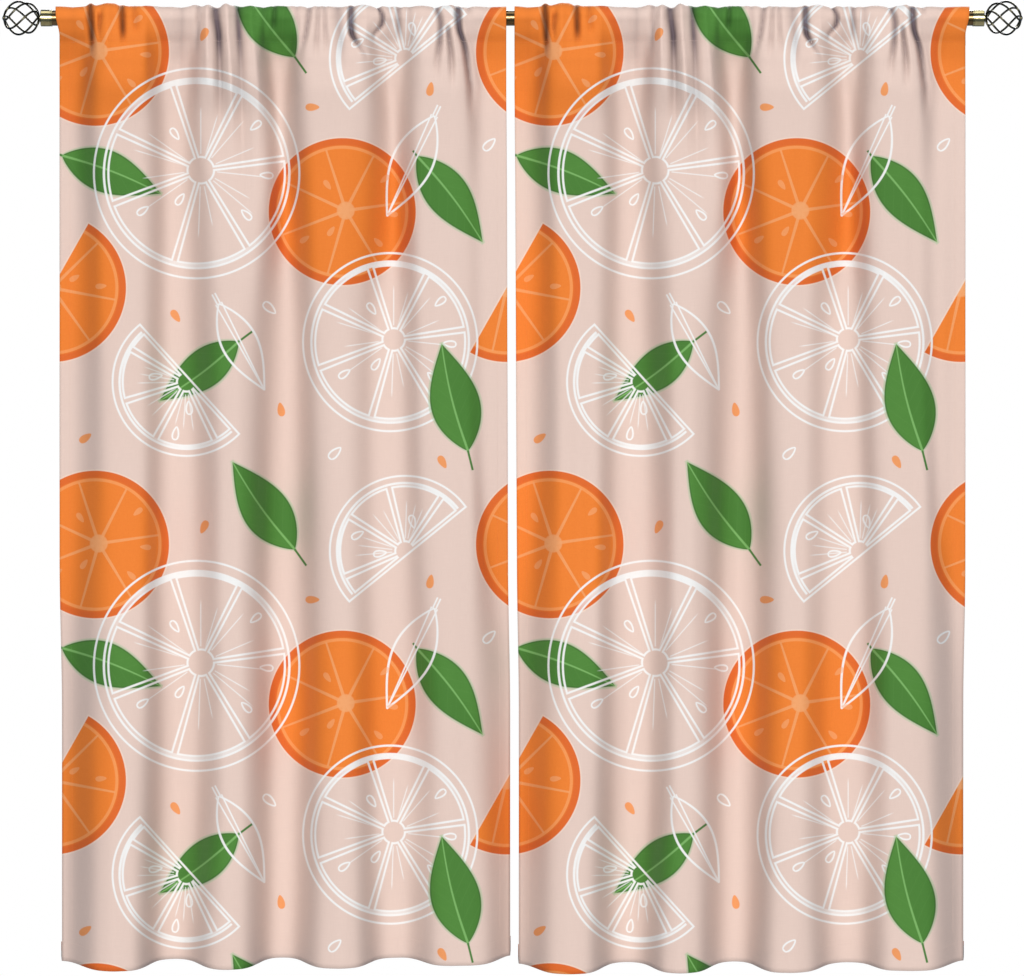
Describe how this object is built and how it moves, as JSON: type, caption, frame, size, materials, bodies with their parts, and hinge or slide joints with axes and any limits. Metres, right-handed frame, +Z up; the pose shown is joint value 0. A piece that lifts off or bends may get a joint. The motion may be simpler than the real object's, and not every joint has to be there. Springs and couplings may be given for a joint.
{
  "type": "window curtains on a rod",
  "caption": "Pair of rod-pocket window curtains gathered on a straight round metal rod that ends in twisted wire-cage finials; the panels slide apart and the finials unscrew.",
  "frame": {"origin": "on the rod's axis, half way between the two panels", "axes": "+X along the rod to the viewer's right, +Y away from the room towards the window, +Z up"},
  "size_m": [1.699, 0.0808, 1.6052],
  "materials": {
    "rod_metal": "satin antique gunmetal lacquer",
    "plug_plastic": "moulded nylon",
    "bare_steel": "zinc-plated",
    "collar_brass": "antiqued brass",
    "cage_metal": "black lacquered steel wire",
    "printed_cloth": "plain-weave polyester, printed on one face"
  },
  "bodies": {
    "root": {"rod_tube": "rod_metal", "left_rod_plug": "plug_plastic", "right_rod_plug": "plug_plastic", "left_plug_nut": "bare_steel", "right_plug_nut": "bare_steel", "left_panel_gather_8": "printed_cloth", "right_panel_gather_8": "printed_cloth"},
    "left_collar": {"left_finial_collar": "collar_brass"},
    "left_cage": {"left_finial_hub": "cage_metal", "left_finial_stud": "bare_steel", "left_finial_wires": "cage_metal", "left_finial_nose": "cage_metal"},
    "left_gather_1": {"left_panel_gather_1": "printed_cloth"},
    "left_gather_2": {"left_panel_gather_2": "printed_cloth"},
    "left_gather_3": {"left_panel_gather_3": "printed_cloth"},
    "left_gather_4": {"left_panel_gather_4": "printed_cloth"},
    "left_gather_5": {"left_panel_gather_5": "printed_cloth"},
    "left_gather_6": {"left_panel_gather_6": "printed_cloth"},
    "left_gather_7": {"left_panel_gather_7": "printed_cloth"},
    "right_collar": {"right_finial_collar": "collar_brass"},
    "right_cage": {"right_finial_hub": "cage_metal", "right_finial_stud": "bare_steel", "right_finial_wires": "cage_metal", "right_finial_nose": "cage_metal"},
    "right_gather_1": {"right_panel_gather_1": "printed_cloth"},
    "right_gather_2": {"right_panel_gather_2": "printed_cloth"},
    "right_gather_3": {"right_panel_gather_3": "printed_cloth"},
    "right_gather_4": {"right_panel_gather_4": "printed_cloth"},
    "right_gather_5": {"right_panel_gather_5": "printed_cloth"},
    "right_gather_6": {"right_panel_gather_6": "printed_cloth"},
    "right_gather_7": {"right_panel_gather_7": "printed_cloth"}
  },
  "joints": [
    {"name": "left_finial_travel", "type": "slide", "parent": "root", "child": "left_collar", "axis": [-1, 0, 0], "range_m": [0, 0.0125]},
    {"name": "left_finial_turn", "type": "hinge", "parent": "left_collar", "child": "left_cage", "pos_m": [-0.7853, 0, 0], "axis": [-1, 0, 0], "range_deg": [0, 3600]},
    {"name": "left_panel_slide", "type": "slide", "parent": "root", "child": "left_gather_1", "axis": [-1, 0, 0], "range_m": [0, 0.487], "deforming": ["left_panel_gather_1"]},
    {"name": "left_gather_2_slide", "type": "slide", "parent": "root", "child": "left_gather_2", "axis": [-1, 0, 0], "range_m": [0, 0.41753], "deforming": ["left_panel_gather_2"]},
    {"name": "left_gather_3_slide", "type": "slide", "parent": "root", "child": "left_gather_3", "axis": [-1, 0, 0], "range_m": [0, 0.34796], "deforming": ["left_panel_gather_3"]},
    {"name": "left_gather_4_slide", "type": "slide", "parent": "root", "child": "left_gather_4", "axis": [-1, 0, 0], "range_m": [0, 0.27839], "deforming": ["left_panel_gather_4"]},
    {"name": "left_gather_5_slide", "type": "slide", "parent": "root", "child": "left_gather_5", "axis": [-1, 0, 0], "range_m": [0, 0.20881], "deforming": ["left_panel_gather_5"]},
    {"name": "left_gather_6_slide", "type": "slide", "parent": "root", "child": "left_gather_6", "axis": [-1, 0, 0], "range_m": [0, 0.13924], "deforming": ["left_panel_gather_6"]},
    {"name": "left_gather_7_slide", "type": "slide", "parent": "root", "child": "left_gather_7", "axis": [-1, 0, 0], "range_m": [0, 0.06967], "deforming": ["left_panel_gather_7"]},
    {"name": "right_finial_travel", "type": "slide", "parent": "root", "child": "right_collar", "axis": [1, 0, 0], "range_m": [0, 0.0125]},
    {"name": "right_finial_turn", "type": "hinge", "parent": "right_collar", "child": "right_cage", "pos_m": [0.7853, 0, 0], "axis": [1, 0, 0], "range_deg": [0, 3600]},
    {"name": "right_panel_slide", "type": "slide", "parent": "root", "child": "right_gather_1", "axis": [1, 0, 0], "range_m": [0, 0.487], "deforming": ["right_panel_gather_1"]},
    {"name": "right_gather_2_slide", "type": "slide", "parent": "root", "child": "right_gather_2", "axis": [1, 0, 0], "range_m": [0, 0.41753], "deforming": ["right_panel_gather_2"]},
    {"name": "right_gather_3_slide", "type": "slide", "parent": "root", "child": "right_gather_3", "axis": [1, 0, 0], "range_m": [0, 0.34796], "deforming": ["right_panel_gather_3"]},
    {"name": "right_gather_4_slide", "type": "slide", "parent": "root", "child": "right_gather_4", "axis": [1, 0, 0], "range_m": [0, 0.27839], "deforming": ["right_panel_gather_4"]},
    {"name": "right_gather_5_slide", "type": "slide", "parent": "root", "child": "right_gather_5", "axis": [1, 0, 0], "range_m": [0, 0.20881], "deforming": ["right_panel_gather_5"]},
    {"name": "right_gather_6_slide", "type": "slide", "parent": "root", "child": "right_gather_6", "axis": [1, 0, 0], "range_m": [0, 0.13924], "deforming": ["right_panel_gather_6"]},
    {"name": "right_gather_7_slide", "type": "slide", "parent": "root", "child": "right_gather_7", "axis": [1, 0, 0], "range_m": [0, 0.06967], "deforming": ["right_panel_gather_7"]}
  ],
  "couplings": [
    {"joint": "left_finial_travel", "follows": "left_finial_turn", "m_per_rad": 0.0001989},
    {"joint": "left_gather_2_slide", "follows": "left_panel_slide", "ratio": 0.85714},
    {"joint": "left_gather_3_slide", "follows": "left_panel_slide", "ratio": 0.71429},
    {"joint": "left_gather_4_slide", "follows": "left_panel_slide", "ratio": 0.57143},
    {"joint": "left_gather_5_slide", "follows": "left_panel_slide", "ratio": 0.42857},
    {"joint": "left_gather_6_slide", "follows": "left_panel_slide", "ratio": 0.28571},
    {"joint": "left_gather_7_slide", "follows": "left_panel_slide", "ratio": 0.14286},
    {"joint": "right_finial_travel", "follows": "right_finial_turn", "m_per_rad": 0.0001989},
    {"joint": "right_gather_2_slide", "follows": "right_panel_slide", "ratio": 0.85714},
    {"joint": "right_gather_3_slide", "follows": "right_panel_slide", "ratio": 0.71429},
    {"joint": "right_gather_4_slide", "follows": "right_panel_slide", "ratio": 0.57143},
    {"joint": "right_gather_5_slide", "follows": "right_panel_slide", "ratio": 0.42857},
    {"joint": "right_gather_6_slide", "follows": "right_panel_slide", "ratio": 0.28571},
    {"joint": "right_gather_7_slide", "follows": "right_panel_slide", "ratio": 0.14286}
  ]
}
